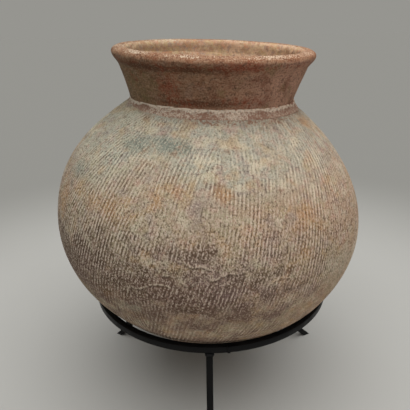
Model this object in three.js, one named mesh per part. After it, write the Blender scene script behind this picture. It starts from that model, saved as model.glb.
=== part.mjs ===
// A round-bottomed earthenware vase with a flared neck, standing in a black tripod ring of square bar.
// Millimetres, +Z up. The origin is on the floor, under the middle of the vase's belly.
import * as THREE from "three";

// The clay body: an ellipse turned about the vase's axis, with a straight shoulder up to the neck
const bodyRadius = 150;
const bodyHalfHeight = 126;
const bodyWall = 8;
const shoulderRadius = 104; // above here the shoulder runs straight

// The neck, a collar that flares from the shoulder to the lip
const neckBaseRadius = 75.5;
const neckTopRadius = 88;
const neckHeight = 36.5;
const neckWall = 8;
const neckCurve = 0.3; // 0 is a straight cone, 1 is all curve

// The rolled lip, an oval coil with a flat seat on the neck's top
const lipRadius = 92.5;
const lipWidth = 14;
const lipHeight = 9.5;
const lipSeatAngle = THREE.MathUtils.degToRad(50); // below level, where the oval meets its seat

// The seam, a coil of clay smoothed into the corner between neck and shoulder
const seamWidth = 5;
const seamHeight = 5;
const seamEdge = 0.6; // thickness left at its feathered edge

// How the vase sits: leaning a little towards +X
const vaseLean = THREE.MathUtils.degToRad(2.3);
const restGap = 0.3; // vase to ring, and between the pieces of clay

// The stand: one square bar size for the ring and its legs
const barWidth = 6;
const ringOuterRadius = 122;
const standHeight = 130; // floor to the ring's top face
const tripodTwist = THREE.MathUtils.degToRad(-1.6);
const legLean = THREE.MathUtils.degToRad(3);
const footSplay = THREE.MathUtils.degToRad(45);
const footRise = 17; // height at which leg and foot would meet if the bend were sharp
const bendRadius = 9; // to the middle of the bar

// The welds
const weldHeight = 4.5;
const weldTopRadius = 4.7;
const weldFootRadius = 3.4;
const weldGap = 0.05;
const closingWeldWidth = 2.4;
const closingWeldProud = 0.6;
const closingWeldAngle = THREE.MathUtils.degToRad(6.5); // from straight ahead, towards +X

// How finely round shapes are cut
const vaseSegments = 56;
const outerBodySteps = 20;
const innerBodySteps = 16;
const neckSteps = 6;
const lipSteps = 12;
const seamSteps = 4;
const ringArcSteps = 60;
const bendSteps = 6;
const weldSegments = 16;
const weldSteps = 4;

// Finishes
const fadedClay = new THREE.MeshStandardMaterial({ color: "#a3927b", roughness: 0.95, metalness: 0 });
const brownClay = new THREE.MeshStandardMaterial({ color: "#6b5040", roughness: 0.9, metalness: 0 });
const redClay = new THREE.MeshStandardMaterial({ color: "#ad7a5b", roughness: 0.9, metalness: 0 });
const paleClay = new THREE.MeshStandardMaterial({ color: "#b9a88f", roughness: 0.95, metalness: 0 });
const blackPaint = new THREE.MeshStandardMaterial({ color: "#17181a", roughness: 0.45, metalness: 0.2 });

function point(radius, height) {
  return new THREE.Vector2(radius, height);
}

// A solid of revolution about Z from a profile of radius and height
function turned(profile, segments) {
  const geometry = new THREE.LatheGeometry(profile, segments);
  return geometry.rotateX(Math.PI / 2);
}

function named(name, geometry, material) {
  const mesh = new THREE.Mesh(geometry, material);
  mesh.name = name;
  return mesh;
}

// Heights in the vase are measured from the middle of its belly
const shoulderAngle = Math.acos(shoulderRadius / bodyRadius);
const shoulderSlope = bodyHalfHeight / bodyRadius / Math.tan(shoulderAngle);
const neckSeat = bodyHalfHeight * Math.sin(shoulderAngle) + shoulderSlope * (shoulderRadius - neckBaseRadius);
const lipSeat = neckSeat + restGap + neckHeight + restGap;

function neckOuterRadius(height) {
  const share = (height - neckSeat - restGap) / neckHeight;
  const eased = share * (1 - neckCurve) + share * share * neckCurve;
  return neckBaseRadius + (neckTopRadius - neckBaseRadius) * eased;
}

// The hollow body, open at the top where the neck stands on it.
// Inside, the wall leaves its own ellipse where it has the shoulder's slope, and runs along with it.
function makeBody() {
  const mouthRadius = neckBaseRadius - neckWall;
  const innerRadius = bodyRadius - bodyWall;
  const innerHalfHeight = bodyHalfHeight - bodyWall;
  const innerAngle = Math.atan(innerHalfHeight / innerRadius / shoulderSlope);
  const outer = new THREE.EllipseCurve(0, 0, bodyRadius, bodyHalfHeight, -Math.PI / 2, shoulderAngle);
  const inner = new THREE.EllipseCurve(0, 0, innerRadius, innerHalfHeight, -Math.PI / 2, innerAngle);
  const innerShoulder = inner.getPoint(1);
  const mouthBottom = innerShoulder.y + shoulderSlope * (innerShoulder.x - mouthRadius);
  const profile = [
    ...outer.getPoints(outerBodySteps),
    point(neckBaseRadius, neckSeat),
    point(mouthRadius, neckSeat),
    point(mouthRadius, mouthBottom),
    ...inner.getPoints(innerBodySteps).reverse(),
  ];
  profile[0].x = 0;
  profile[profile.length - 1].x = 0;
  return named("vase_body", turned(profile, vaseSegments), fadedClay);
}

// The collar, with the same wall from bottom to top
function makeNeck() {
  const outside = [];
  const inside = [];
  for (let step = 0; step <= neckSteps; step += 1) {
    const height = neckSeat + restGap + (neckHeight * step) / neckSteps;
    const radius = neckOuterRadius(height);
    outside.push(point(radius, height));
    inside.unshift(point(radius - neckWall, height));
  }
  const profile = [...outside, ...inside, outside[0].clone()];
  return named("vase_neck", turned(profile, vaseSegments), brownClay);
}

// The lip, an oval that starts and ends on its flat seat
function makeLip() {
  const halfWidth = lipWidth / 2;
  const halfHeight = lipHeight / (1 + Math.sin(lipSeatAngle));
  const middle = lipSeat + lipHeight - halfHeight;
  const oval = new THREE.EllipseCurve(
    lipRadius - halfWidth,
    middle,
    halfWidth,
    halfHeight,
    -lipSeatAngle,
    Math.PI + lipSeatAngle,
  );
  const profile = oval.getPoints(lipSteps);
  profile.push(profile[0].clone());
  return named("rim_lip", turned(profile, vaseSegments), redClay);
}

// The seam lies on the shoulder and against the neck, with a hollow curve on its outside
function makeSeam() {
  const gapAboveShoulder = restGap * Math.hypot(1, shoulderSlope);
  const corner = point(neckBaseRadius + restGap, neckSeat + gapAboveShoulder - shoulderSlope * restGap);
  const edge = point(neckBaseRadius + seamWidth, neckSeat + gapAboveShoulder - shoulderSlope * seamWidth);
  const lower = point(edge.x, edge.y + seamEdge);
  const wallTop = neckSeat + seamHeight;
  const upper = point(neckOuterRadius(wallTop) + restGap, wallTop);
  const bend = point(upper.x + seamEdge, neckSeat + seamEdge);
  const hollow = new THREE.QuadraticBezierCurve(lower, bend, upper);
  const profile = [corner, edge, ...hollow.getPoints(seamSteps), corner.clone()];
  return named("neck_seam", turned(profile, vaseSegments), paleClay);
}

// Where the leaning body rests on the ring's inner top edge.
// A level cut through a leaning spheroid is an ellipse. Its half width along Y is the larger one, so it
// is the one that meets the ring. Its middle lies to one side of the belly's middle.
function findRest(ringInnerRadius) {
  const radius = bodyRadius + restGap;
  const halfHeight = bodyHalfHeight + restGap;
  const sine = Math.sin(vaseLean);
  const cosine = Math.cos(vaseLean);
  const across = (cosine / radius) ** 2 + (sine / halfHeight) ** 2;
  const upright = (sine / radius) ** 2 + (cosine / halfHeight) ** 2;
  const mixed = sine * cosine * (1 / halfHeight ** 2 - 1 / radius ** 2);
  const cutSize = (ringInnerRadius / radius) ** 2;
  const depth = Math.sqrt((1 - cutSize) / (upright - mixed ** 2 / across));
  return { depth, sideways: (mixed * depth) / across };
}

// The ring, a bar bent round and cut square at both ends, where the closing weld joins it
function makeRing(innerRadius) {
  const halfKerf = closingWeldWidth / 2 + weldGap;
  const middle = -Math.PI / 2 + closingWeldAngle;
  const outerTurn = Math.asin(halfKerf / ringOuterRadius);
  const innerTurn = Math.asin(halfKerf / innerRadius);
  const outline = new THREE.Shape();
  outline.absarc(0, 0, ringOuterRadius, middle + outerTurn, middle + 2 * Math.PI - outerTurn, false);
  outline.absarc(0, 0, innerRadius, middle + 2 * Math.PI - innerTurn, middle + innerTurn, true);
  outline.closePath();
  const geometry = new THREE.ExtrudeGeometry(outline, {
    depth: barWidth,
    bevelEnabled: false,
    curveSegments: ringArcSteps,
  });
  const ring = named("stand_ring", geometry, blackPaint);
  ring.position.z = standHeight - barWidth;
  return ring;
}

// The weld that closes the ring: flush with the bar on top and inside, proud of it outside and below
function makeClosingWeld(innerRadius) {
  const depth = barWidth + closingWeldProud;
  const outline = new THREE.Shape();
  outline.moveTo(0, 0);
  outline.lineTo(0, -barWidth);
  outline.quadraticCurveTo(0, -depth, closingWeldProud, -depth);
  outline.lineTo(barWidth, -depth);
  outline.quadraticCurveTo(depth, -depth, depth, -barWidth);
  outline.lineTo(depth, -closingWeldProud);
  outline.quadraticCurveTo(depth, 0, barWidth, 0);
  outline.closePath();
  const geometry = new THREE.ExtrudeGeometry(outline, {
    depth: closingWeldWidth,
    bevelEnabled: false,
    curveSegments: weldSteps,
  });
  geometry.translate(0, 0, -closingWeldWidth / 2);
  geometry.rotateX(Math.PI / 2);
  geometry.translate(innerRadius, 0, standHeight);
  const weld = named("ring_closing_weld", geometry, blackPaint);
  weld.rotation.z = -Math.PI / 2 + closingWeldAngle;
  return weld;
}

// A leg's side view, with X as the distance from the stand's axis and Y as the height.
// The bar runs down and a little out, bends outwards, and is cut level with the floor.
function legOutline(topRadius, topHeight) {
  const half = barWidth / 2;
  const cornerRadius = topRadius + (topHeight - footRise) * Math.tan(legLean);
  const tangent = bendRadius * Math.tan((footSplay - legLean) / 2);
  const centreX = cornerRadius - tangent * Math.sin(legLean) + bendRadius * Math.cos(legLean);
  const centreY = footRise + tangent * Math.cos(legLean) + bendRadius * Math.sin(legLean);
  const topHalf = half / Math.cos(legLean);
  const tipRadius = cornerRadius + footRise * Math.tan(footSplay);
  const tipHalf = half / Math.cos(footSplay);
  const start = Math.PI + legLean;
  const end = Math.PI + footSplay;
  const outline = new THREE.Shape();
  outline.moveTo(topRadius + topHalf, topHeight);
  outline.lineTo(topRadius - topHalf, topHeight);
  outline.absarc(centreX, centreY, bendRadius + half, start, end, false);
  outline.lineTo(tipRadius - tipHalf, 0);
  outline.lineTo(tipRadius + tipHalf, 0);
  outline.absarc(centreX, centreY, bendRadius - half, end, start, true);
  outline.closePath();
  return outline;
}

function makeLeg(name, angle, topRadius, topHeight) {
  const geometry = new THREE.ExtrudeGeometry(legOutline(topRadius, topHeight), {
    depth: barWidth,
    bevelEnabled: false,
    curveSegments: bendSteps,
  });
  geometry.translate(0, 0, -barWidth / 2);
  geometry.rotateX(Math.PI / 2);
  const leg = named(name, geometry, blackPaint);
  leg.rotation.z = angle;
  return leg;
}

// The bead between a leg's top and the ring's underside, widest against the ring
function makeLegWeld(name, angle, radius, bottom, top) {
  const profile = [point(0, bottom)];
  for (let step = 0; step <= weldSteps; step += 1) {
    const share = step / weldSteps;
    const beadRadius = weldFootRadius + (weldTopRadius - weldFootRadius) * share * share;
    profile.push(point(beadRadius, bottom + (top - bottom) * share));
  }
  profile.push(point(0, top));
  const weld = named(name, turned(profile, weldSegments), blackPaint);
  weld.position.set(radius * Math.cos(angle), radius * Math.sin(angle), 0);
  return weld;
}

function makeStand(innerRadius) {
  const stand = new THREE.Group();
  const middleRadius = (ringOuterRadius + innerRadius) / 2;
  const weldTop = standHeight - barWidth - weldGap;
  const weldBottom = weldTop - weldHeight;
  const legTop = weldBottom - weldGap;
  stand.add(makeRing(innerRadius), makeClosingWeld(innerRadius));
  ["front", "rear_right", "rear_left"].forEach((place, index) => {
    const angle = -Math.PI / 2 + (index * 2 * Math.PI) / 3 + tripodTwist;
    stand.add(makeLeg(`leg_${place}`, angle, middleRadius, legTop));
    stand.add(makeLegWeld(`weld_${place}`, angle, middleRadius, weldBottom, weldTop));
  });
  return stand;
}

const ringInnerRadius = ringOuterRadius - barWidth;
const rest = findRest(ringInnerRadius);

const vase = new THREE.Group();
vase.add(makeBody(), makeNeck(), makeLip(), makeSeam());
vase.rotation.y = vaseLean;
vase.position.z = standHeight + rest.depth;

const stand = makeStand(ringInnerRadius);
stand.position.x = rest.sideways;

const part = new THREE.Group();
part.add(vase, stand);

export default part;
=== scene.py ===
import itertools
import math

import bpy
import numpy as np
from mathutils import Matrix, Vector


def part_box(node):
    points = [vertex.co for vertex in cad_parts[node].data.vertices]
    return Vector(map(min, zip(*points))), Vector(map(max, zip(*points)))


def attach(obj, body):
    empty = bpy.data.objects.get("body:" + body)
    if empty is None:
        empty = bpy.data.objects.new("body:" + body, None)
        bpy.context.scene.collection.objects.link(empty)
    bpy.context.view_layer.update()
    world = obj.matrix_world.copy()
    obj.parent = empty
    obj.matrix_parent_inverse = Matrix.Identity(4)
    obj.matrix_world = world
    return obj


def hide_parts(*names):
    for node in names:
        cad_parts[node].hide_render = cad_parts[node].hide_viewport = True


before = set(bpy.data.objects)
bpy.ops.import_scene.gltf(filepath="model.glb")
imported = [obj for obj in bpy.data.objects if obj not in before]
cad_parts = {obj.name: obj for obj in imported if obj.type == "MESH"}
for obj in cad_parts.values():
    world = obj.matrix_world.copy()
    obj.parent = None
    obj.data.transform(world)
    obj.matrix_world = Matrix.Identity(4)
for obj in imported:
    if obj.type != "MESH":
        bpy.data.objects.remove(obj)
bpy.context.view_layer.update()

# Lengths are millimetres in the pot's own frame: heights from the middle of its belly, along its axis.
# Azimuth is in degrees, 0 at the front and growing to the right. place() turns both into the frame's metres.
MM = 0.001
body_low, body_high = (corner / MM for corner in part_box("vase_body"))

# The pot's turned shape, as the CAD has it.
LEAN = math.radians(2.3)
BELLY_RADIUS = (body_high.y - body_low.y) / 2
BELLY_HALF_HEIGHT = 0.84 * BELLY_RADIUS
WALL = 8.0
SHOULDER_RADIUS = 104.0
NECK_BASE_RADIUS = 75.5
NECK_TOP_RADIUS = 88.0
NECK_HEIGHT = 36.5
NECK_CURVE = 0.3
BELLY_HEIGHT = body_low.z + math.hypot(BELLY_RADIUS * math.sin(LEAN), BELLY_HALF_HEIGHT * math.cos(LEAN))
SHOULDER_ANGLE = math.acos(SHOULDER_RADIUS / BELLY_RADIUS)
SHOULDER_SLOPE = BELLY_HALF_HEIGHT / BELLY_RADIUS / math.tan(SHOULDER_ANGLE)
NECK_SEAT = (BELLY_HALF_HEIGHT * math.sin(SHOULDER_ANGLE)
             + SHOULDER_SLOPE * (SHOULDER_RADIUS - NECK_BASE_RADIUS))
LIP_SEAT = NECK_SEAT + NECK_HEIGHT

# The visual body: points round the outer and inner wall, the paddle's strikes, and the height of their prints.
OUTER_SEGMENTS, INNER_SEGMENTS = 1512, 252
STRIKES, STRIKE_LENGTH, CORD_PITCH = 170, 58, 3.15
CORD_RELIEF, CREASE_RELIEF = 0.2, 0.45


# ---- numbers


def lattice_noise(points, size, seed):
    """Seeded smooth noise from -1 to 1, with features about size long."""
    grid = points / size + seed * 17.13
    corner = np.floor(grid).astype(np.int64)
    part = grid - corner
    part = part * part * (3 - 2 * part)
    total = np.zeros(len(points))
    for offset in itertools.product((0, 1), repeat=3):
        cell = corner + offset
        mixed = cell[:, 0] * 73856093 ^ cell[:, 1] * 19349663 ^ cell[:, 2] * 83492791 ^ seed * 2654435761
        mixed = (mixed ^ (mixed >> 13)) * 1274126177
        value = ((mixed ^ (mixed >> 16)) & 0xFFFF) / 32767.5 - 1
        total += value * np.prod(np.where(offset, part, 1 - part), axis=1)
    return total


def smooth_step(value, low, high):
    """Eases from 0 at low to 1 at high."""
    share = np.clip((value - low) / (high - low), 0, 1)
    return share * share * (3 - 2 * share)


def bump_at(azimuth, height, middle, spread):
    """A soft round bump, 1 at its middle, on the pot's surface."""
    turn = (azimuth - middle[0] + 180) % 360 - 180
    return np.exp(-(turn / spread[0]) ** 2 - ((height - middle[1]) / spread[1]) ** 2)


def side_bump(azimuth, middle, spread):
    """The same bump at every height."""
    return bump_at(azimuth, 0, (middle, 0), (spread, 1))


def rightness(azimuth):
    """0 at the pot's left, 1 at its right."""
    return 0.5 + 0.5 * np.sin(np.radians(azimuth))


def even_steps(profile, spacing):
    """The same profile with its points evenly spaced."""
    profile = np.asarray(profile, float)
    lengths = np.r_[0, np.cumsum(np.hypot(*np.diff(profile, axis=0).T))]
    at = np.linspace(0, lengths[-1], max(2, round(lengths[-1] / spacing)) + 1)
    return np.column_stack([np.interp(at, lengths, profile[:, axis]) for axis in (0, 1)])


def smooth_curve(corners, steps=12, closed=False):
    """A smooth line through the corners."""
    corners = np.asarray(corners, float)
    count = len(corners)
    share = np.linspace(0, 1, steps, endpoint=False)[:, None]
    spans = []
    for start in range(count if closed else count - 1):
        around = np.arange(start - 1, start + 3)
        before, a, b, after = corners[around % count if closed else np.clip(around, 0, count - 1)]
        spans.append(0.5 * (2 * a + (b - before) * share + (2 * before - 5 * a + 4 * b - after) * share ** 2
                            + (3 * a - before - 3 * b + after) * share ** 3))
    spans.append(corners[:1] if closed else corners[-1:])
    return np.vstack(spans)


def place(points):
    """Pot millimetres to the frame's metres: lean, lift, scale."""
    turned = points @ np.array(Matrix.Rotation(LEAN, 3, "Y")).T
    turned[:, 2] += BELLY_HEIGHT
    return turned * MM


# ---- meshes


def turned_grid(profile, segments):
    """Rings of points: the profile of radius and height, turned about the pot's axis."""
    azimuth = np.arange(segments) * 2 * math.pi / segments
    radius = profile[:, :1]
    height = np.broadcast_to(profile[:, 1:], (len(profile), segments))
    return np.stack([radius * np.sin(azimuth), -radius * np.cos(azimuth), height], axis=-1).reshape(-1, 3)


def turned_normals(profile, segments, closed=False):
    """Outward directions for the points of turned_grid."""
    if closed:
        along = np.roll(profile, -1, axis=0) - np.roll(profile, 1, axis=0)
    else:
        along = np.gradient(profile, axis=0)
    along /= np.hypot(*along.T)[:, None]
    return turned_grid(np.column_stack([along[:, 1], -along[:, 0]]), segments)


def ring_quads(rings, segments, first=0, closed=False):
    """Quads between neighbouring rings of points; closed joins the last ring to the first."""
    near = np.arange(rings if closed else rings - 1)[:, None]
    far = (near + 1) % rings
    side = np.arange(segments)
    after = (side + 1) % segments
    corners = [near * segments + side, near * segments + after, far * segments + after, far * segments + side]
    return first + np.stack(np.broadcast_arrays(*corners), axis=-1).reshape(-1, 4)


def fan(pole, first, segments, flip=False):
    """Triangles from a pole to the ring of points that starts at first."""
    side = np.arange(segments)
    after = (side + 1) % segments
    triangles = np.stack([np.full(segments, pole), first + after, first + side], axis=-1)
    return triangles[:, ::-1] if flip else triangles


def stitch(outer_first, outer_segments, inner_first, inner_segments):
    """Triangles that join a fine ring of points to a coarse one that follows it."""
    ratio = outer_segments // inner_segments
    faces = []
    for side in range(inner_segments):
        here, after = inner_first + side, inner_first + (side + 1) % inner_segments
        fine = [outer_first + (side * ratio + step) % outer_segments for step in range(ratio + 1)]
        faces += [(here, fine[step], fine[step + 1]) for step in range(ratio)]
        faces.append((here, fine[-1], after))
    return np.array(faces)


def new_object(name, data):
    """An object in the scene."""
    made = bpy.data.objects.new(name, data)
    bpy.context.scene.collection.objects.link(made)
    return made


def mesh_object(name, points, blocks, material, facts=None):
    """A smooth-shaded mesh from points in metres and blocks of equal-sided faces, with named numbers per point."""
    mesh = bpy.data.meshes.new(name)
    mesh.vertices.add(len(points))
    mesh.vertices.foreach_set("co", np.asarray(points, np.float32).ravel())
    loops = np.concatenate([block.ravel() for block in blocks])
    sides = np.concatenate([np.full(len(block), block.shape[1]) for block in blocks])
    mesh.loops.add(len(loops))
    mesh.loops.foreach_set("vertex_index", loops.astype(np.int32))
    mesh.polygons.add(len(sides))
    mesh.polygons.foreach_set("loop_start", (np.cumsum(sides) - sides).astype(np.int32))
    mesh.update(calc_edges=True)
    mesh.validate()
    mesh.shade_smooth()
    for fact, values in (facts or {}).items():
        layer = mesh.attributes.new(fact, "FLOAT", "POINT")
        layer.data.foreach_set("value", np.asarray(values, np.float32))
    mesh.materials.append(material)
    return new_object(name, mesh)


def stand_for(piece, body, slot, *nodes):
    """Puts a visual piece in the place of CAD nodes."""
    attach(piece, body)
    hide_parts(*nodes)
    return piece


# ---- material nodes


def tone(red, green, blue):
    """A colour as seen on screen, 0 to 255, for a shader socket."""
    share = [value / 255 for value in (red, green, blue)]
    return [s / 12.92 if s <= 0.04045 else ((s + 0.055) / 1.055) ** 2.4 for s in share] + [1.0]


class Shader:
    """One material. Each call adds a node and returns what comes out of it."""

    def __init__(self, name, **surface):
        self.material = bpy.data.materials.new(name)
        self.material.use_nodes = True
        self.nodes = self.material.node_tree.nodes
        self.links = self.material.node_tree.links
        self.surface = self.nodes["Principled BSDF"]
        for socket, value in surface.items():
            self.surface.inputs[socket.replace("_", " ")].default_value = value
        self.place = self.add("TexCoord").outputs["Object"]

    def add(self, kind, settings=None, **inputs):
        node = self.nodes.new("ShaderNode" + kind)
        for name, value in (settings or {}).items():
            setattr(node, name, value)
        for name, value in inputs.items():
            self.feed(node.inputs[name.replace("_", " ")], value)
        return node

    def feed(self, socket, value):
        if isinstance(value, bpy.types.NodeSocket):
            self.links.new(value, socket)
        else:
            socket.default_value = value

    def attribute(self, name):
        return self.add("Attribute", {"attribute_name": name}).outputs["Fac"]

    def noise(self, size, seed=0, detail=3.0, rough=0.55, stretch=(1, 1, 1), warp=0.0):
        """Noise from about 0 to 1 with features about size millimetres, longer where stretch is over 1."""
        scale = [1 / (size * MM * longer) for longer in stretch]
        moved = self.add("Mapping", Vector=self.place, Location=(seed * 7.31, seed * 3.17, seed * 5.53),
                         Scale=scale).outputs[0]
        return self.add("TexNoise", Vector=moved, Scale=1.0, Detail=detail, Roughness=rough,
                        Distortion=warp).outputs["Fac"]

    def math(self, operation, first, second=0.0, third=0.0):
        node = self.add("Math", {"operation": operation})
        for socket, value in zip(node.inputs, (first, second, third)):
            self.feed(socket, value)
        return node.outputs[0]

    def times(self, first, second):
        return self.math("MULTIPLY", first, second)

    def roughen(self, noise, strength, value):
        """The value made uneven by a noise around 0.5."""
        return self.math("MULTIPLY_ADD", self.math("SUBTRACT", noise, 0.5), strength, value)

    def ramp(self, value, low, high, to_low=0.0, to_high=1.0):
        """Eases from to_low, where the value is low, to to_high, where it is high."""
        node = self.add("MapRange", {"interpolation_type": "SMOOTHSTEP"}, Value=value)
        for socket, number in zip(list(node.inputs)[1:5], (low, high, to_low, to_high)):
            socket.default_value = number
        return node.outputs[0]

    def mix(self, factor, first, second, blend="MIX"):
        node = self.add("Mix", {"data_type": "RGBA", "blend_type": blend})
        for socket, value in ((0, factor), (6, first), (7, second)):
            self.feed(node.inputs[socket], value)
        return node.outputs[2]

    def bump(self, height, distance):
        """Relief of that many millimetres."""
        return self.add("Bump", Height=height, Distance=distance * MM, Strength=1.0).outputs[0]

    def finish(self, colour, roughness, normal):
        self.feed(self.surface.inputs["Base Color"], colour)
        self.feed(self.surface.inputs["Roughness"], roughness)
        self.feed(self.surface.inputs["Normal"], normal)
        return self.material


def paint_side_light(s, colour):
    """Painted light: the clay a little greener on the pot's left and brighter and redder on its right, where warmer
    light falls.
    """
    side_light = s.mix(s.attribute("painted_side_light"), (0.985, 1.015, 0.995, 1), (1.13, 1.05, 1.0, 1))
    return s.mix(1.0, colour, side_light, "MULTIPLY")


def rusted(s, colour, fine, grain):
    """Speckles of red-brown clay in the band round the neck's foot."""
    rust = s.roughen(grain, 3.0, s.roughen(fine, 3.0, s.attribute("red_band")))
    return s.mix(s.ramp(rust, 0.5, 0.95, 0, 0.85), colour, tone(120, 76, 56))


def clay_body():
    """Faded, cord-marked earthenware: fire clouds and dust, dark grooves and rubbed ridges, with painted light on its
    folds, its right side and low on the right.

    It reads the attributes that body_paint and cord_print give the mesh."""
    s = Shader("cord_marked_clay", Specular_IOR_Level=0.18)
    fine = s.noise(1.0, 1, detail=1, rough=0.5, stretch=(0.9, 0.9, 1.6))
    grain = s.noise(2.5, 2, detail=2, rough=0.6, stretch=(0.95, 0.95, 1.3))
    blotch = s.noise(15, 3, detail=4, rough=0.6)
    wide = s.noise(60, 4, detail=3)
    colour = s.mix(s.ramp(wide, 0.38, 0.62), tone(178, 151, 127), tone(170, 154, 129))
    colour = s.mix(s.attribute("pale"), colour, tone(171, 169, 155))
    mottling = [(19, 0.5, tone(190, 152, 104)), (13, 0.6, tone(146, 132, 126)), (9, 0.4, tone(192, 150, 136)),
                (11, 0.65, tone(206, 196, 172)), (7, 0.4, tone(150, 142, 112))]
    for seed, (size, strength, paint) in enumerate(mottling):
        colour = s.mix(s.ramp(s.noise(size, 5 + seed, detail=2, rough=0.6), 0.5, 0.68, 0, strength), colour, paint)
    clouds = [("cool", tone(124, 131, 121), 0.6, 0.9), ("dust_and_painted_light", tone(190, 185, 165), 1.0, 0.75),
              ("brown", tone(112, 87, 77), 1.5, 1.0), ("ochre", tone(182, 138, 90), 1.1, 0.88),
              ("violet", tone(140, 118, 114), 1.1, 0.9), ("soot", tone(100, 81, 64), 1.5, 0.95)]
    for name, paint, breakup, strength in clouds:
        ragged = s.roughen(blotch, breakup * 1.6, s.attribute(name))
        ragged = s.roughen(grain, breakup * 0.5, ragged)
        colour = s.mix(s.ramp(ragged, 0.15, 1.0, 0, strength), colour, paint)
    cord, shift = s.attribute("cord"), s.attribute("shift")
    length = s.math("SQRT", s.math("ADD", s.times(cord, cord), s.times(shift, shift)))
    relief = s.times(s.math("DIVIDE", cord, s.math("MAXIMUM", length, 0.05)), s.attribute("press"))
    broken = s.ramp(s.noise(6, 15, detail=2), 0.4, 0.58, 0.35, 1.0)
    rubbed = s.times(s.times(relief, broken), 0.8)
    rubbed = s.roughen(grain, 2.6, rubbed)
    rubbed = s.roughen(fine, 3.6, rubbed)
    rubbed = s.times(rubbed, s.attribute("contrast"))
    colour = s.mix(s.ramp(rubbed, 0.1, -1.5, 0, 0.85), colour, tone(86, 69, 56))
    light = s.mix(s.attribute("pale"), tone(220, 203, 188), tone(222, 211, 190))
    colour = s.mix(s.ramp(rubbed, 0.0, 1.3, 0, 0.85), colour, light)
    vein = s.math("ABSOLUTE", s.math("SUBTRACT", s.noise(5, 16, detail=1), 0.5))
    vein = s.times(s.ramp(vein, 0.035, 0.0), s.attribute("muddled"))
    colour = s.mix(s.times(vein, 0.55), colour, tone(210, 194, 168))
    # Painted highlight along each fold and painted shade in the groove just below it.
    crease = s.times(s.attribute("crease"), s.ramp(grain, 0.4, 0.58, 0.2, 1.1))
    colour = s.mix(s.ramp(crease, 0.1, 0.6, 0, 0.6), colour, tone(212, 196, 176))
    colour = s.mix(s.ramp(crease, -0.1, -0.6, 0, 0.5), colour, tone(80, 63, 52))
    colour = rusted(s, colour, fine, grain)
    inside = s.mix(s.ramp(blotch, 0.35, 0.65), tone(176, 142, 110), tone(140, 120, 106))
    colour = s.mix(s.attribute("inside"), colour, inside)
    colour = paint_side_light(s, colour)
    height = s.math("MULTIPLY_ADD", fine, 0.4, s.times(relief, 0.1))
    height = s.math("MULTIPLY_ADD", grain, 0.4, height)
    height = s.math("MULTIPLY_ADD", vein, 0.3, height)
    return s.finish(colour, s.ramp(grain, 0.3, 0.7, 0.82, 1.0), s.bump(height, 0.5))


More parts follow.
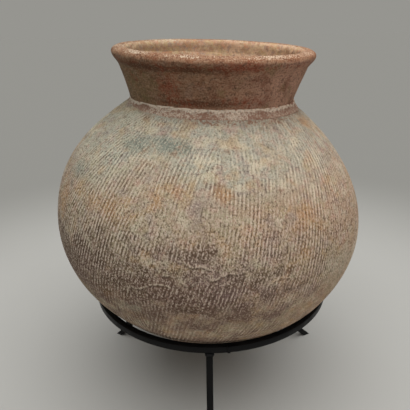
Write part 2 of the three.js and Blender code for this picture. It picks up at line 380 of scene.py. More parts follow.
def clay_collar(name):
    """Wiped, smoke-browned clay of the neck, redder on the worn lip, and paler inside, partly as painted light.

    It reads the attributes that collar_facts gives the mesh."""
    s = Shader(name, Specular_IOR_Level=0.25)
    fine = s.noise(1.2, 11, detail=1, rough=0.5)
    grain = s.noise(3.8, 12, detail=4, rough=0.65)
    blotch = s.noise(15, 13, detail=4, rough=0.6)
    wiped = s.noise(1.5, 14, detail=3, rough=0.65, stretch=(5, 5, 0.8), warp=0.4)
    colour = s.mix(s.ramp(blotch, 0.36, 0.64), tone(132, 98, 76), tone(162, 122, 96))
    colour = s.mix(s.attribute("flush"), colour, tone(200, 157, 137))
    colour = s.mix(s.attribute("olive"), colour, tone(126, 108, 74))
    colour = s.mix(s.ramp(wiped, 0.48, 0.68, 0, 0.55), colour, tone(168, 140, 118))
    colour = s.mix(s.ramp(wiped, 0.48, 0.32, 0, 0.55), colour, tone(72, 48, 34))
    colour = s.mix(s.ramp(grain, 0.53, 0.7, 0, 0.6), colour, tone(160, 130, 104))
    colour = s.mix(s.ramp(grain, 0.47, 0.32, 0, 0.6), colour, tone(70, 46, 32))
    for seed, paint in enumerate((tone(122, 106, 70), tone(156, 124, 108), tone(112, 60, 42))):
        colour = s.mix(s.ramp(s.noise(16, 23 + seed, detail=4, rough=0.65), 0.52, 0.66, 0, 0.55), colour, paint)
    colour = s.mix(s.ramp(s.roughen(grain, 0.8, s.attribute("shade")), 0.2, 0.9, 0, 0.75), colour,
                   tone(80, 46, 26))
    lip = s.mix(s.ramp(blotch, 0.38, 0.64), tone(176, 136, 108), tone(160, 112, 84))
    lip = s.mix(s.ramp(grain, 0.54, 0.34, 0, 0.65), lip, tone(126, 84, 64))
    colour = s.mix(s.ramp(s.roughen(grain, 1.2, s.attribute("lip")), 0.2, 0.95), colour, lip)
    redder = s.roughen(grain, 2.4, s.attribute("red"))
    colour = s.mix(s.ramp(redder, 0.3, 1.1, 0, 0.8), colour, tone(136, 64, 43))
    # Paler clay inside, made paler still by painted light lower down and on the back right.
    inside = s.mix(s.ramp(blotch, 0.38, 0.6), tone(200, 162, 136), tone(192, 150, 114))
    inside = s.mix(s.attribute("painted_light_inside"), inside, tone(240, 206, 172))
    stains = (tone(214, 146, 112), tone(172, 146, 136), tone(226, 202, 162), tone(206, 178, 132),
              tone(184, 142, 116))
    for seed, paint in enumerate(stains):
        stain = s.noise(5 + seed, 31 + seed, detail=3, rough=0.7)
        inside = s.mix(s.ramp(stain, 0.51, 0.62, 0, 0.65), inside, paint)
    colour = s.mix(s.ramp(s.roughen(grain, 0.5, s.attribute("inside")), 0.2, 0.8), colour, inside)
    luting = s.mix(s.ramp(grain, 0.5, 0.34, 0, 0.7), tone(218, 202, 184), tone(160, 130, 108))
    colour = s.mix(s.ramp(s.roughen(grain, 1.4, s.attribute("luting")), 0.25, 0.8), colour, luting)
    colour = rusted(s, colour, fine, grain)
    worn = s.roughen(fine, 2.88, s.roughen(grain, 0.9, s.attribute("worn")))
    colour = s.mix(s.ramp(worn, 0.35, 0.95, 0, 0.9), colour, tone(226, 206, 182))
    pits = s.times(s.ramp(fine, 0.48, 0.3, 0, 0.55), s.ramp(s.attribute("inside"), 0, 1, 1, 0.4))
    colour = s.mix(pits, colour, tone(80, 56, 42))
    bright = s.math("MAXIMUM", s.math("MAXIMUM", s.attribute("lip"), s.attribute("inside")), 0.4)
    colour = s.mix(s.times(s.ramp(fine, 0.53, 0.68, 0, 0.5), bright), colour, tone(206, 182, 156))
    colour = paint_side_light(s, colour)
    height = s.math("MULTIPLY_ADD", fine, 0.3, s.times(grain, 0.5))
    height = s.math("MULTIPLY_ADD", wiped, 0.3, height)
    return s.finish(colour, s.ramp(grain, 0.3, 0.7, 0.72, 0.95), s.bump(height, 0.4))


def black_paint():
    """Satin black brushed on iron, thin and brownish at a few rubbed spots."""
    s = Shader("black_paint", Specular_IOR_Level=0.13)
    grain = s.noise(1.1, 21, detail=3)
    brushed = s.noise(9, 22, detail=4, rough=0.6)
    colour = s.mix(s.ramp(brushed, 0.3, 0.7), tone(8, 8, 9), tone(15, 14, 14))
    colour = s.mix(s.ramp(grain, 0.68, 0.8, 0, 0.5), colour, tone(56, 48, 42))
    height = s.math("MULTIPLY_ADD", grain, 0.25, brushed)
    return s.finish(colour, s.ramp(brushed, 0.3, 0.7, 0.38, 0.58), s.bump(height, 0.25))


# ---- the body


def body_profile():
    """Outer wall from the bottom up to the neck, then the mouth and the inner wall back down."""
    turn = np.linspace(-math.pi / 2, SHOULDER_ANGLE, 600)
    outer = np.column_stack([BELLY_RADIUS * np.cos(turn), BELLY_HALF_HEIGHT * np.sin(turn)])
    outer = even_steps(np.vstack([outer, (NECK_BASE_RADIUS, NECK_SEAT)]), 0.65)
    # Away from the belly every other ring of points is enough.
    outer = outer[(np.arange(len(outer)) % 2 == 0) | (np.abs(outer[:, 1]) < 25)]
    inner_radius, inner_half = BELLY_RADIUS - WALL, BELLY_HALF_HEIGHT - WALL
    top = math.atan(inner_half / inner_radius / SHOULDER_SLOPE)
    turn = np.linspace(top, -math.pi / 2, 300)
    inner = np.column_stack([inner_radius * np.cos(turn), inner_half * np.sin(turn)])
    mouth = NECK_BASE_RADIUS - WALL
    lower = inner[0][1] + SHOULDER_SLOPE * (inner[0][0] - mouth)
    inner = even_steps(np.vstack([(mouth, NECK_SEAT), (mouth, lower), inner]), 3.0)
    return outer[1:], inner[:-1]


def cord_lean(azimuth, height):
    """How far the cord marks lean to the right of straight up, in degrees."""
    lean = 8 + 12 * side_bump(azimuth, -60, 36) + 5 * smooth_step(azimuth, 5, 30)
    lean += 20 * side_bump(azimuth, 150, 35) - 24 * side_bump(azimuth, -150, 30)
    low = smooth_step(-height, -20, 40)
    return lean * (1 - 0.6 * low) + 10 * low


def cord_marks(points, ring_heights, strikes, size, seed):
    """The cord marks as a complex wave over the surface, from paddle strikes that each cover the ones before.

    Its real part is 1 on a ridge and -1 in a groove. Each strike's cords are lined up with those they meet."""
    draw = np.random.default_rng(seed)
    segments = len(points) // len(ring_heights)
    number = np.arange(strikes) + 0.5
    upright = 1 - 2 * number / strikes
    golden_angle = math.pi * (3 - math.sqrt(5))
    turn = number * golden_angle + draw.normal(0, 0.05, strikes)
    wave = np.zeros(len(points), complex)
    wander = 0.5 * lattice_noise(points, 45, seed) + 0.14 * lattice_noise(points, 13, seed + 1)
    ragged = 0.12 * lattice_noise(points, 14, seed + 2)
    axes = np.array([BELLY_RADIUS, BELLY_RADIUS, BELLY_HALF_HEIGHT])
    for strike in draw.permutation(strikes):
        flat = math.sqrt(1 - upright[strike] ** 2)
        centre = axes * (flat * math.sin(turn[strike]), -flat * math.cos(turn[strike]), upright[strike])
        out = centre / axes ** 2
        out /= np.linalg.norm(out)
        right = np.cross((0, 0, 1), out)
        right /= np.linalg.norm(right)
        azimuth = math.degrees(math.atan2(centre[0], -centre[1]))
        scatter = 2.5 if centre[2] > -10 else 6  # degrees; the lower body was struck less evenly
        lean = math.radians(cord_lean(azimuth, centre[2]) + draw.normal(0, scatter))
        along = math.cos(lean) * np.cross(out, right) + math.sin(lean) * right
        across = np.cross(along, out)
        pitch = CORD_PITCH * draw.uniform(0.94, 1.08)
        length, width = size * draw.uniform(0.85, 1.15), size * draw.uniform(0.45, 0.65)
        force = draw.uniform(0.8, 1.0)
        first, last = np.searchsorted(ring_heights, (centre[2] - 1.2 * length, centre[2] + 1.2 * length)) * segments
        near = first + np.flatnonzero(((points[first:last] - centre) ** 2).sum(1) < (length * 1.2) ** 2)
        offset = points[near] - centre
        aside = offset @ across
        reach = ((np.abs(offset @ along) / length) ** 4 + (np.abs(aside) / width) ** 4) ** 0.25 + ragged[near]
        cover = force * smooth_step(1 - reach, 0, 0.4)
        fresh = np.exp(2j * math.pi * (aside / pitch + wander[near]))
        meeting = (wave[near] * fresh.conj() * cover * (1 - cover)).sum()
        wave[near] = wave[near] * (1 - cover) + fresh * np.exp(1j * np.angle(meeting)) * cover
    return wave


def patches(azimuth, height, spots):
    """The strongest of several soft spots at each point.

    A spot is its azimuth, height, spread in azimuth, spread in height, and strength."""
    found = np.zeros(len(azimuth))
    for spot in spots:
        found = np.maximum(found, spot[4] * bump_at(azimuth, height, spot[:2], spot[2:4]))
    return found


def back_spots(count, seed):
    """Spots for the side that the photograph doesn't show, of the same kind as those in front."""
    draw = np.random.default_rng(seed)
    return [(draw.uniform(85, 275), draw.uniform(-60, 80), draw.uniform(8, 18), draw.uniform(8, 18),
             draw.uniform(0.4, 0.75)) for _ in range(count)]


# Where the front's colours are, for patches.
SPOTS = {
    # The last ochre spot, low on the right, is painted warm light.
    "ochre": [(-63, 31, 8, 14, 0.9), (-36, 46, 12, 12, 0.65), (-19, 60, 7, 9, 0.85), (-12, 65, 6, 7, 0.7),
              (3.5, 65, 7, 7, 0.75), (11, 69, 6, 7, 0.4), (31, 44, 6, 12, 0.65), (31, 64, 6, 8, 0.45),
              (-25, 84, 9, 6, 0.3), (-37, 103, 9, 5, 0.5), (50, 18, 10, 20, 0.4), (-34, -23, 9, 12, 0.5),
              (30, 20, 5, 7, 0.6), (39, 37, 6, 8, 0.5), (9, 44, 7, 6, 0.5), (68, 99, 14, 7, 0.8),
              (-15, 62, 4, 12, 0.6), (58, 60, 6, 12, 0.4), (56, 0, 12, 30, 0.55)],
    "violet": [(-3, 58, 8, 9, 0.6), (18, 28, 14, 14, 0.6), (-12, 18, 16, 9, 0.6), (5, 5, 20, 10, 0.6),
               (-1, 38, 8, 6, 0.4), (16, 24, 8, 9, 0.8), (12, -8, 18, 14, 0.7), (30, -16, 14, 22, 0.6),
               (48, 30, 10, 30, 0.4), (50, 84, 20, 16, 0.35)],
    "soot": [(14, 6, 9, 7, 1.0), (-14, 8, 8, 6, 1.0), (-24, 5, 10, 9, 1.0), (-33, -16, 13, 13, 1.0),
             (-34, 26, 12, 9, 0.65), (-44, 10, 10, 14, 0.75), (-54, 17, 8, 12, 0.5), (-6, 23, 9, 6, 0.6),
             (-10, -30, 14, 8, 0.6), (24, -12, 12, 12, 0.6), (26, 22, 8, 6, 0.3), (-58, -2, 14, 16, 0.8),
             (20, 6, 9, 8, 0.8), (13, 2, 9, 8, 0.8), (-32, 6, 8, 14, 0.6), (-18, 16, 7, 6, 0.6)],
    "cool": [(-36, 90, 11, 6, 1.4), (-25, 93, 11, 5.5, 1.5), (-16, 92, 8, 5, 1.2), (-61, 62, 7, 8, 1.1),
             (-45, 76, 26, 26, 0.2), (-28, -34, 14, 10, 0.6), (-14, 100, 30, 5, 0.3)],
    # The last two dust spots, low on the right, are painted light.
    "dust_and_painted_light": [(-50, 79, 9, 9, 0.6), (-30, 84, 10, 5, 0.7), (-34, 60, 13, 8, 0.7), (-14, 86, 8, 5, 0.6),
             (44, 75, 10, 10, 0.5), (13, 64, 6, 6, 0.5), (-6, 55, 6, 6, 0.5), (-14, 40, 12, 8, 0.6),
             (-40, 88, 34, 16, 0.5), (-62, 74, 16, 20, 0.6), (62, 62, 9, 12, 0.7), (14, 84, 10, 8, 0.5),
             (-50, 102, 24, 8, 0.9), (50, -4, 12, 16, 1.0), (62, -10, 16, 30, 0.95)],
}


def body_paint(points, azimuth, height):
    """How strongly each colour shows at each point of the outer wall."""
    drift = lattice_noise(points, 40, 31)
    paint = {}
    for seed, name in enumerate(SPOTS):
        found = patches(azimuth, height, SPOTS[name] + back_spots(9, 40 + seed))
        paint[name] = found * (0.85 + 0.3 * lattice_noise(points, 22, 50 + seed))
    # Painted light: how far round to the right, where the side is lit brighter and warmer.
    paint["painted_side_light"] = rightness(azimuth)
    paint["pale"] = smooth_step(height + 16 * drift, 48, 92)
    paint["brown"] = 0.95 * smooth_step(-height + 16 * drift, -42, 22) * (1 - 0.4 * smooth_step(-height, 10, 55))
    # Painted light: less brown low on the right side, which faces away from the light.
    paint["brown"] -= 1.8 * bump_at(azimuth, height, (55, -10), (26, 42))
    paint["brown"] += 0.3 * bump_at(azimuth, height, (-46, 2), (26, 22))
    paint["contrast"] = 1.08 + 0.82 * np.exp(-((height - 12) / 40) ** 2) - 0.3 * smooth_step(-height, 15, 45)
    # The bump low on the right is painted light: fainter dark grooves there.
    paint["contrast"] += 0.4 * smooth_step(-height, 38, 60) - 0.35 * bump_at(azimuth, height, (50, -4), (18, 22))
    paint["contrast"] += 0.25 * side_bump(azimuth, -55, 25) + 0.15 * lattice_noise(points, 32, 33)
    paint["red_band"] = (0.45 + 0.4 * drift) * smooth_step(height + 3 * drift, 105, 109)
    return paint


def corner_sag(azimuth):
    """How far the corner between neck and shoulder sits below its turned place."""
    return 1.2 + 0.4 * side_bump(azimuth, 100, 55) - 2.0 * side_bump(azimuth, 0, 55)


# Swellings and hollows of the wall, in millimetres, for bump_at.
SWELLS = [(-98, 42, 55, 45, 1.5), (-90, -55, 40, 22, -1.0), (105, 62, 42, 36, -4.8), (-36, -79, 22, 18, -1.3),
          (92, 18, 40, 34, -1.6)]


def hand_shaping(points, azimuth, height):
    """How far the hand-made wall stands off the turned shape. Around the belly it stays inside the turned size."""
    uneven = 0.55 * lattice_noise(points, 70, 61) + 0.2 * lattice_noise(points, 24, 62)
    for swell in SWELLS:
        uneven += swell[4] * bump_at(azimuth, height, swell[:2], swell[2:4])
    uneven -= 0.78 * corner_sag(azimuth) * smooth_step(height, 98, 112)
    # How far out the wall may go: not quite to the turned shape at the belly, and past it above and below.
    room = -0.3 + 3 * (1 - np.exp(-(height / 60) ** 2))
    softness = 0.2
    return room - softness * np.log1p(np.exp((room - uneven) / softness))


# Each fold's strength and its line, in azimuth and height.
CREASES = [
    (1.0, [(-27, -23), (-26.2, -17), (-25.2, -11.2), (-23.8, -12.1), (-21.7, -11.1), (-19, -6.9), (-16.1, -4.4),
           (-13.3, -4), (-11.5, -6)]),
    (0.9, [(-10.4, 17.9), (-9, 17.6), (-7.5, 16.4), (-5.7, 13.6), (-3.4, 14.7), (-1.1, 13.4), (0.4, 11.1)]),
    (0.9, [(-2.2, 9.3), (-0.7, 5.3), (0.7, 3.7), (3, 7), (5.8, 9.3), (8.2, 9)]),
    (0.9, [(-9.7, 1.8), (-8.2, -0.4), (-6.7, -2.6), (-5.3, -0.5), (-4.2, 4)]),
    (0.8, [(-18.3, 14.2), (-16.4, 11.8), (-15.7, 7.1), (-13.9, 4.6), (-11.8, 6.2)]),
    (0.8, [(17.7, -4.2), (19.5, -0.5), (22.2, 0.9), (25.5, -2)]),
]


def crease_height(azimuth, height):
    """Thin folds of clay on the lower front, each raised along its line and sunk just below it."""
    arc = BELLY_RADIUS * math.pi / 180
    ridge_width, groove_width, groove_below, ends = 0.8, 1.0, 1.9, 6
    near = np.flatnonzero((np.abs(azimuth) < 34) & (np.abs(height) < 32))
    spot = np.column_stack([azimuth[near] * arc, height[near]])
    found = np.zeros(len(azimuth))
    for strength, line in CREASES:
        route = even_steps(smooth_curve(np.array(line) * (arc, 1)), 0.5)
        gap = spot[:, None] - route
        distance = np.hypot(gap[..., 0], gap[..., 1])
        closest = distance.argmin(1)
        rows = np.arange(len(near))
        distance, above = distance[rows, closest], gap[rows, closest, 1]
        taper = smooth_step(np.minimum(closest, len(route) - 1 - closest), 0, ends)
        sunk = 0.8 * np.exp(-((distance - groove_below) / groove_width) ** 2) * (above < 0)
        found[near] += strength * taper * (np.exp(-(distance / ridge_width) ** 2) - sunk)
    return found


# Where the marks are blurred, for patches.
MUDDLED = [(-15, 38, 22, 12, 0.6), (-12, 8, 26, 14, 0.7), (14, 10, 20, 12, 0.5), (0, -32, 60, 20, 0.55),
           (180, 0, 60, 30, 0.4), (-30, -10, 24, 16, 0.5)]


def cord_print(points, azimuth, height, ring_heights):
    """The marks and folds at each point of the outer wall, and how far they stand off it."""
    rubbed = 0.5 + 0.5 * smooth_step(lattice_noise(points, 30, 71) + 0.4 * lattice_noise(points, 9, 72), -0.6, 0.3)
    fade = smooth_step(-height, -110.5, -106.5) * smooth_step(height, -118, -95)
    muddled = patches(azimuth, height, MUDDLED) - 0.3 * bump_at(azimuth, height, (-50, 45), (24, 45))
    muddled = np.clip(muddled + 0.35 * lattice_noise(points, 28, 73) + 0.05, 0, 0.85)
    wave = cord_marks(points, ring_heights, STRIKES, STRIKE_LENGTH, 81)
    pressed = fade * rubbed * (1 - muddled) * (1 - 0.4 * smooth_step(height, 66, 96))
    crease = crease_height(azimuth, height)
    facts = {"muddled": muddled, "cord": wave.real, "shift": wave.imag, "press": np.abs(wave) * pressed,
             "crease": crease}
    return facts, CORD_RELIEF * wave.real * pressed + CREASE_RELIEF * crease


def make_body(material):
    """The hollow body: cord-marked outside, smoothed inside."""
    outer, inner = body_profile()
    points = turned_grid(outer, OUTER_SEGMENTS)
    normals = turned_normals(outer, OUTER_SEGMENTS)
    azimuth = np.degrees(np.arctan2(points[:, 0], -points[:, 1]))
    height = points[:, 2]
    facts, relief = cord_print(points, azimuth, height, outer[:, 1])
    facts = body_paint(points, azimuth, height) | facts
    points = points + normals * (relief + hand_shaping(points, azimuth, height))[:, None]
    inner_points = turned_grid(inner, INNER_SEGMENTS)
    inner_points += turned_normals(inner, INNER_SEGMENTS) * (0.5 * lattice_noise(inner_points, 26, 63))[:, None]
    poles = np.array([[0, 0, -BELLY_HALF_HEIGHT], [0, 0, WALL - BELLY_HALF_HEIGHT]])
    first_inner = len(points)
    first_pole = first_inner + len(inner_points)
    last_ring = first_inner - OUTER_SEGMENTS
    blocks = [
        ring_quads(len(outer), OUTER_SEGMENTS),
        ring_quads(len(inner), INNER_SEGMENTS, first_inner),
        fan(first_pole, 0, OUTER_SEGMENTS),
        fan(first_pole + 1, first_pole - INNER_SEGMENTS, INNER_SEGMENTS, flip=True),
        stitch(last_ring, OUTER_SEGMENTS, first_inner, INNER_SEGMENTS),
    ]
    extra = len(inner_points) + 2
    facts = {name: np.r_[values, np.zeros(extra)] for name, values in facts.items()}
    facts["inside"] = np.r_[np.zeros(first_inner), np.ones(extra - 2), 0, 1]
    body = mesh_object("cord_marked_body", place(np.vstack([points, inner_points, poles])), blocks, material, facts)
    return stand_for(body, "vase", "cord_marked_clay", "vase_body")


# ---- the collar: neck, lip and seam


def neck_radius(height):
    """The flare of the neck's outer wall."""
    share = np.clip((height - NECK_SEAT - 0.3) / NECK_HEIGHT, -0.2, 1)
    eased = share * (1 - NECK_CURVE) + share ** 2 * NECK_CURVE
    return NECK_BASE_RADIUS + (NECK_TOP_RADIUS - NECK_BASE_RADIUS) * eased


# Worn places of the lip: azimuth, width, strength. The others are for patches.
WORN = [(-80, 14, 0.35), (-46, 9, 0.6), (-14, 7, 0.5), (33, 18, 0.55), (62, 14, 0.4), (110, 14, 0.4),
        (160, 12, 0.4), (215, 16, 0.5)]
OLIVE = [(-58, 132, 22, 20, 1.0), (150, 128, 30, 20, 0.8)]
SHADE = [(-32, LIP_SEAT - 1.5, 50, 3.5, 1.0), (-8, 122, 34, 4, 0.9), (190, 120, 90, 6, 0.6)]
RED = [(14, 152, 16, 6, 1.0), (-27, 134, 10, 26, 0.78), (-22, 121, 18, 7, 0.7), (18, 124, 22, 6, 0.7),
       (-55, 140, 14, 12, 0.5), (0, LIP_SEAT + 1, 500, 3.5, 0.55), (120, 140, 25, 12, 0.8), (200, 130, 30, 14, 0.7)]


def collar_facts(azimuth, height, inside):
    """Where clay_collar's colours are. The wiped luting and the red band under it are make_seam's."""
    outside = 1 - inside
    crest = smooth_step(height, LIP_SEAT + 6, LIP_SEAT + 8.8)
    worn = np.max([strength * side_bump(azimuth, middle, width) for middle, width, strength in WORN], axis=0)
    # Painted light inside the mouth: more of it lower down and on the back right.
    deep_painted_light = 0.8 * smooth_step(-height, -LIP_SEAT - 9.5, -LIP_SEAT + 3) * (1 - side_bump(azimuth, -140, 30))
    return {
        "lip": outside * smooth_step(height, LIP_SEAT + 1.5, LIP_SEAT + 7.5),
        "inside": inside * smooth_step(height, LIP_SEAT - 40, LIP_SEAT - 30),
        "painted_light_inside": inside * (deep_painted_light + 0.9 * side_bump(azimuth, 120, 36)),
        "flush": 0.9 * outside * bump_at(azimuth, height, (48, 135), (34, 40)),
        "olive": 0.7 * outside * patches(azimuth, height, OLIVE),
        "shade": outside * patches(azimuth, height, SHADE),
        "painted_side_light": rightness(azimuth),
        "luting": np.zeros(len(height)),
        "red_band": np.zeros(len(height)),
        "red": outside * patches(azimuth, height, RED),
        "worn": crest * (worn + 0.12) - 0.7 * (1 - crest) * outside,
    }


def turned_piece(name, profile, segments, material, shaping, slot, node, facts_for, sag=0):
    """A closed ring piece: the profile turned, shaped by hand, with its colours. With sag 1 it follows the corner."""
    points = turned_grid(profile, segments)
    normals = turned_normals(profile, segments, closed=True)
    azimuth = np.degrees(np.arctan2(points[:, 0], -points[:, 1]))
    facts = facts_for(points, azimuth, points[:, 2])
    points = points + normals * shaping(points, azimuth, points[:, 2])[:, None]
    points[:, 2] -= sag * corner_sag(azimuth)
    piece = mesh_object(name, place(points), [ring_quads(len(profile), segments, closed=True)], material, facts)
    return stand_for(piece, "vase", slot, node)


def wiped_lines(points):
    """Fine level lines that a wet hand leaves."""
    squeezed = points * np.array([1 / 26, 1 / 26, 1])
    return 0.09 * lattice_noise(squeezed, 1.5, 101) + 0.12 * lattice_noise(squeezed, 4.0, 102)


def make_neck(material):
    """The flared tube, from 4 mm down in the body's mouth up to the lip. Each flat end has points across it."""
    heights = np.linspace(NECK_SEAT - 4, LIP_SEAT, 64)
    outside = np.column_stack([neck_radius(heights), heights])
    inside = np.column_stack([neck_radius(heights) - WALL + 0.2, heights])[::-2]
    top = [(outside[-1][0] - 3, outside[-1][1]), (inside[0][0] + 2, inside[0][1])]
    bottom = [(inside[-1][0] + 3, inside[-1][1]), (outside[0][0] - 2, outside[0][1])]
    profile = np.vstack([outside, top, inside, bottom])

    def shaping(points, azimuth, height):
        sides = 1.2 * bump_at(azimuth, height, (-95, 130), (50, 60)) - bump_at(azimuth, height, (95, 112), (50, 12))
        return wiped_lines(points) + 0.35 * lattice_noise(points, 38, 103) + sides

    def facts_for(points, azimuth, height):
        radius = np.hypot(points[:, 0], points[:, 1])
        inner = (radius < neck_radius(height) - WALL / 2).astype(float)
        return collar_facts(azimuth, height, inner)

    return turned_piece("flared_neck", profile, 540, material, shaping, "neck_clay", "vase_neck", facts_for)


# Radius and height round the section of the lip, and of the seam below it.
LIP_PROFILE = [(84.6, 141.6), (86.0, 144.6), (88.4, 148.0), (91.2, 151.6), (92.5, 154.8), (91.6, 157.8),
               (88.8, 159.8), (85.6, 160.4), (82.2, 159.8), (79.6, 157.6), (78.6, 154.6), (78.5, 151.0),
               (78.3, 147.6), (77.7, 144.4), (80.0, 143.0), (82.5, 142.0)]


def make_lip(material):
    """The rolled coil along the top, chipped here and there."""
    profile = even_steps(smooth_curve(LIP_PROFILE, closed=True), 0.8)[:-1]

    def shaping(points, azimuth, height):
        wavy = 0.45 * lattice_noise(points, 30, 111) + 0.22 * lattice_noise(points, 9, 112)
        chips = smooth_step(lattice_noise(points, 7, 113), 0.35, 0.7) * smooth_step(height, 153, 157)
        return wavy * (1 - 0.6 * smooth_step(height, 156, 160)) - 0.4 - 0.6 * chips

    def facts_for(points, azimuth, height):
        radius = np.hypot(points[:, 0], points[:, 1])
        return collar_facts(azimuth, height, smooth_step(-radius, -84.5, -80.5))

    return turned_piece("rolled_lip", profile, 720, material, shaping, "lip_clay", "rim_lip", facts_for)


SEAM_PROFILE = [(75.0, NECK_SEAT - 1.2), (77.4, NECK_SEAT - 3.0), (79.6, NECK_SEAT - 4.5),
                (80.8, NECK_SEAT - 5.0), (80.6, NECK_SEAT - 4.0), (78.9, NECK_SEAT - 2.0),
                (77.6, NECK_SEAT + 0.0), (76.9, NECK_SEAT + 2.0), (76.3, NECK_SEAT + 3.2),
                (75.4, NECK_SEAT + 3.2), (74.8, NECK_SEAT + 1.0)]


def make_seam(material):
    """The clay wiped into the corner: a pale luting above a red-brown band."""
    profile = even_steps(smooth_curve(SEAM_PROFILE, closed=True), 0.7)[:-1]

    def shaping(points, azimuth, height):
        return 0.25 * lattice_noise(points, 11, 121) + 0.25 * lattice_noise(points, 4, 122)

    def facts_for(points, azimuth, height):
        facts = collar_facts(azimuth, height, np.zeros(len(points)))
        above = height - NECK_SEAT + 1.3 * lattice_noise(points, 14, 123) + 1.3 * lattice_noise(points, 3, 124)
        facts["luting"] = smooth_step(-above, -4.2, -2.6)
        facts["red_band"] = (0.85 + 0.4 * lattice_noise(points, 20, 125)) * smooth_step(-above, -1.8, -0.3)
        facts["red_band"] *= 1 - 0.15 * side_bump(azimuth, 45, 26)
        return facts

    return turned_piece("neck_luting", profile, 720, material, shaping, "seam_clay", "neck_seam", facts_for,
                        sag=1)


# ---- the stand


def smooth_by_angle():
    """Shades a CAD node smooth except across its sharp edges, as a modifier."""
    group = bpy.data.node_groups.new("smooth_by_angle", "GeometryNodeTree")
    group.interface.new_socket("Geometry", in_out="INPUT", socket_type="NodeSocketGeometry")
    group.interface.new_socket("Geometry", in_out="OUTPUT", socket_type="NodeSocketGeometry")
    add = group.nodes.new
    enter, leave = add("NodeGroupInput"), add("NodeGroupOutput")
    angle, over = add("GeometryNodeInputMeshEdgeAngle"), add("FunctionNodeCompare")
    over.operation = "LESS_THAN"
    over.inputs[1].default_value = math.radians(25)
    faces, edges = add("GeometryNodeSetShadeSmooth"), add("GeometryNodeSetShadeSmooth")
    edges.domain = "EDGE"
    link = group.links.new
    link(angle.outputs["Unsigned Angle"], over.inputs[0])
    link(enter.outputs[0], faces.inputs["Geometry"])
    link(faces.outputs[0], edges.inputs["Geometry"])
    link(over.outputs[0], edges.inputs["Shade Smooth"])
    link(edges.outputs[0], leave.inputs[0])
    return group


def dress_bar(node, paint, shading):
    """A CAD bar with its worn corners rounded and painted."""
    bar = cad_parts[node]
    bar.data.materials.clear()
    bar.data.materials.append(paint)
    joined = bar.modifiers.new("joined", "WELD")
    joined.merge_threshold = 0.01 * MM
    corners = bar.modifiers.new("corners", "BEVEL")
    corners.width = 0.6 * MM
    corners.segments = 3
    corners.limit_method = "ANGLE"
    corners.angle_limit = math.radians(30)
    bar.modifiers.new("shading", "NODES").node_group = shading


def make_bead(node, paint, seed):
    """A lumpy weld bead in the place of its CAD node."""
    low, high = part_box(node)
    middle, half = (low + high) / 2 / MM, (high - low) / 2 / MM
    rings, segments = 24, 40
    turn = np.linspace(-math.pi / 2, math.pi / 2, rings + 2)[1:-1]
    unit = turned_grid(np.column_stack([np.cos(turn), np.sin(turn)]), segments)
    unit = np.vstack([unit, [(0, 0, -1), (0, 0, 1)]])
    squarer = np.sign(unit) * np.abs(unit) ** 0.7
    size = 0.96 - 0.05 * (1 + lattice_noise(unit, 0.55, seed))
    points = (squarer * size[:, None] * np.array(half) + np.array(middle)) * MM
    first_pole = rings * segments
    blocks = [ring_quads(rings, segments), fan(first_pole, 0, segments),
              fan(first_pole + 1, first_pole - segments, segments, flip=True)]
    bead = mesh_object(node + "_bead", points, blocks, paint)
    return stand_for(bead, "stand", "black_paint", node)


def make_stand(paint):
    """The bars and the ring's closing weld are the CAD's own. The legs' welds are remade."""
    shading = smooth_by_angle()
    for node in ("stand_ring", "leg_front", "leg_rear_right", "leg_rear_left"):
        dress_bar(node, paint, shading)
    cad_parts["ring_closing_weld"].data.materials.clear()
    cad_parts["ring_closing_weld"].data.materials.append(paint)
    for seed, node in enumerate(("weld_front", "weld_rear_right", "weld_rear_left")):
        make_bead(node, paint, 131 + seed)


# ---- floor, light and camera


def make_floor():
    """A wide pale floor that evens out to the backdrop's colour away from the pot."""
    half_width, pale_to, even_from = 6.0, 0.35, 0.8
    s = Shader("pale_floor", Roughness=0.9, Specular_IOR_Level=0.1)
    away = s.add("VectorMath", {"operation": "LENGTH"}, Vector=s.place).outputs["Value"]
    pale = s.mix(s.noise(140, 41), tone(183, 182, 177), tone(187, 186, 181))
    s.feed(s.surface.inputs["Base Color"], s.mix(s.ramp(away, pale_to, even_from), pale, tone(149, 148, 143)))
    corners = half_width * np.array([(-1, -1, 0), (1, -1, 0), (1, 1, 0), (-1, 1, 0)])
    mesh_object("floor", corners, [np.array([[0, 1, 2, 3]])], s.material)


def make_sun():
    """A wide soft source overhead, a little to the front and the right."""
    lamp = bpy.data.lights.new("softbox", "SUN")
    lamp.angle = math.radians(70)
    lamp.energy = 2.85
    towards_light = Vector((0.09, -0.3, 1))
    new_object("softbox", lamp).rotation_euler = towards_light.to_track_quat("Z", "Y").to_euler()


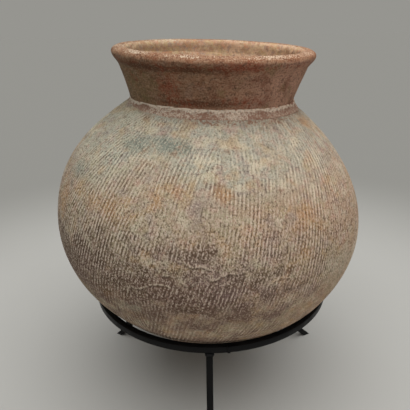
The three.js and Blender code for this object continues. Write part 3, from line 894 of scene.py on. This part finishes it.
def make_world():
    """Even light from all round. Seen straight on or in a reflection it has the far floor's colour."""
    world = bpy.data.worlds.new("studio")
    world.use_nodes = True
    add, link = world.node_tree.nodes.new, world.node_tree.links.new
    light = world.node_tree.nodes["Background"]
    light.inputs["Color"].default_value = tone(232, 232, 230)
    light.inputs["Strength"].default_value = 0.16
    seen, rays, choice = add("ShaderNodeBackground"), add("ShaderNodeLightPath"), add("ShaderNodeMixShader")
    seen.inputs["Color"].default_value = tone(150, 149, 144)
    mirrored, direct = add("ShaderNodeMath"), add("ShaderNodeMath")
    mirrored.operation = direct.operation = "MAXIMUM"
    link(rays.outputs["Is Glossy Ray"], mirrored.inputs[0])
    link(rays.outputs["Is Transmission Ray"], mirrored.inputs[1])
    link(rays.outputs["Is Camera Ray"], direct.inputs[0])
    link(mirrored.outputs[0], direct.inputs[1])
    link(direct.outputs[0], choice.inputs[0])
    link(light.outputs[0], choice.inputs[1])
    link(seen.outputs[0], choice.inputs[2])
    link(choice.outputs[0], world.node_tree.nodes["World Output"].inputs["Surface"])
    bpy.context.scene.world = world


def make_camera():
    """Where the photograph was taken from: its pitch, its slight roll and its field of view."""
    pitch, roll = math.radians(22.5), math.radians(-0.92)
    focal_pixels, frame_pixels = 494.8, 410
    place_of_lens = (-0.0038, -0.4716, 0.4092)
    forward = Vector((0, math.cos(pitch), -math.sin(pitch)))
    level = Vector((1, 0, 0))
    upright = level.cross(forward)
    right = math.cos(roll) * level + math.sin(roll) * upright
    up = -math.sin(roll) * level + math.cos(roll) * upright
    lens = bpy.data.cameras.new("photograph")
    lens.sensor_width = 36
    lens.lens = focal_pixels / frame_pixels * lens.sensor_width
    lens.clip_start, lens.clip_end = 0.01, 100
    camera = new_object("photograph", lens)
    turn = Matrix((right, up, -forward)).transposed()
    camera.matrix_world = Matrix.Translation(place_of_lens) @ turn.to_4x4()
    bpy.context.scene.camera = camera


make_floor()
make_world()
make_sun()
make_camera()
bpy.context.scene.view_settings.view_transform = "Standard"

make_body(clay_body())
make_neck(clay_collar("neck_clay"))
make_lip(clay_collar("lip_clay"))
make_seam(clay_collar("seam_clay"))
make_stand(black_paint())
